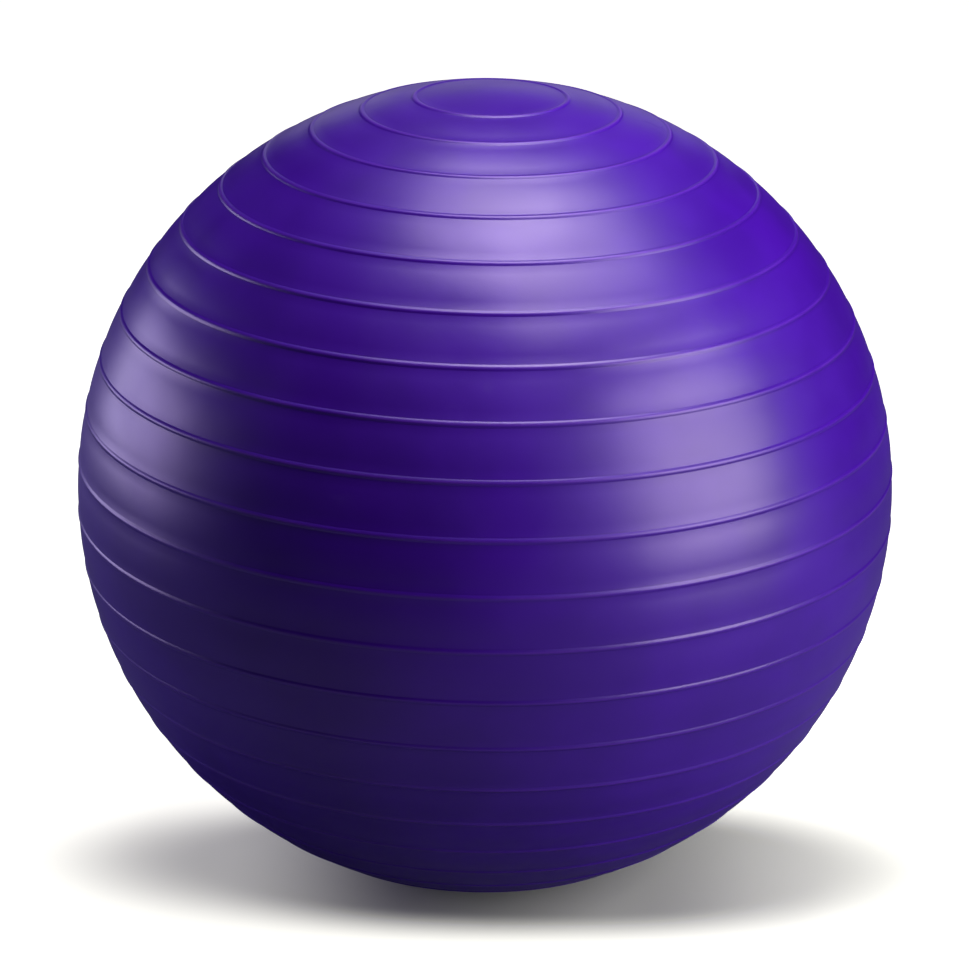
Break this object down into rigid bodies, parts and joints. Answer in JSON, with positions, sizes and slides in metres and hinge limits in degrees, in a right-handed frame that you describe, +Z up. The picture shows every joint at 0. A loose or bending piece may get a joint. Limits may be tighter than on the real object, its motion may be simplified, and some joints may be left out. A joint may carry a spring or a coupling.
{
  "type": "exercise ball",
  "caption": "Large inflated exercise ball of violet vinyl with raised grip ribs running round it as rings, a smooth cap at each pole and a push-in air plug in a recessed valve seat.",
  "frame": {"origin": "centre of the flat patch on which the ball stands, at floor level and on the axis of the ribs", "axes": "+Z up along the axis of the ribs through both smooth caps, +Y along the valve's axis and out of the ball, so the valve is on the side away from a viewer who looks along +Y, +X to that viewer's right"},
  "size_m": [0.6512, 0.6512, 0.6488],
  "materials": {
    "skin_vinyl": "satin violet PVC, finely grained by the mould",
    "seat_vinyl": "satin dark violet flexible PVC",
    "plug_plastic": "satin off-white polyethylene"
  },
  "bodies": {
    "ball": {"ball_skin": "skin_vinyl", "valve_seat": "seat_vinyl"},
    "plug": {"valve_plug": "plug_plastic"}
  },
  "joints": [
    {"name": "plug_pull", "type": "slide", "parent": "ball", "child": "plug", "axis": [0, 1, 0], "range_m": [0, 0.03]}
  ]
}
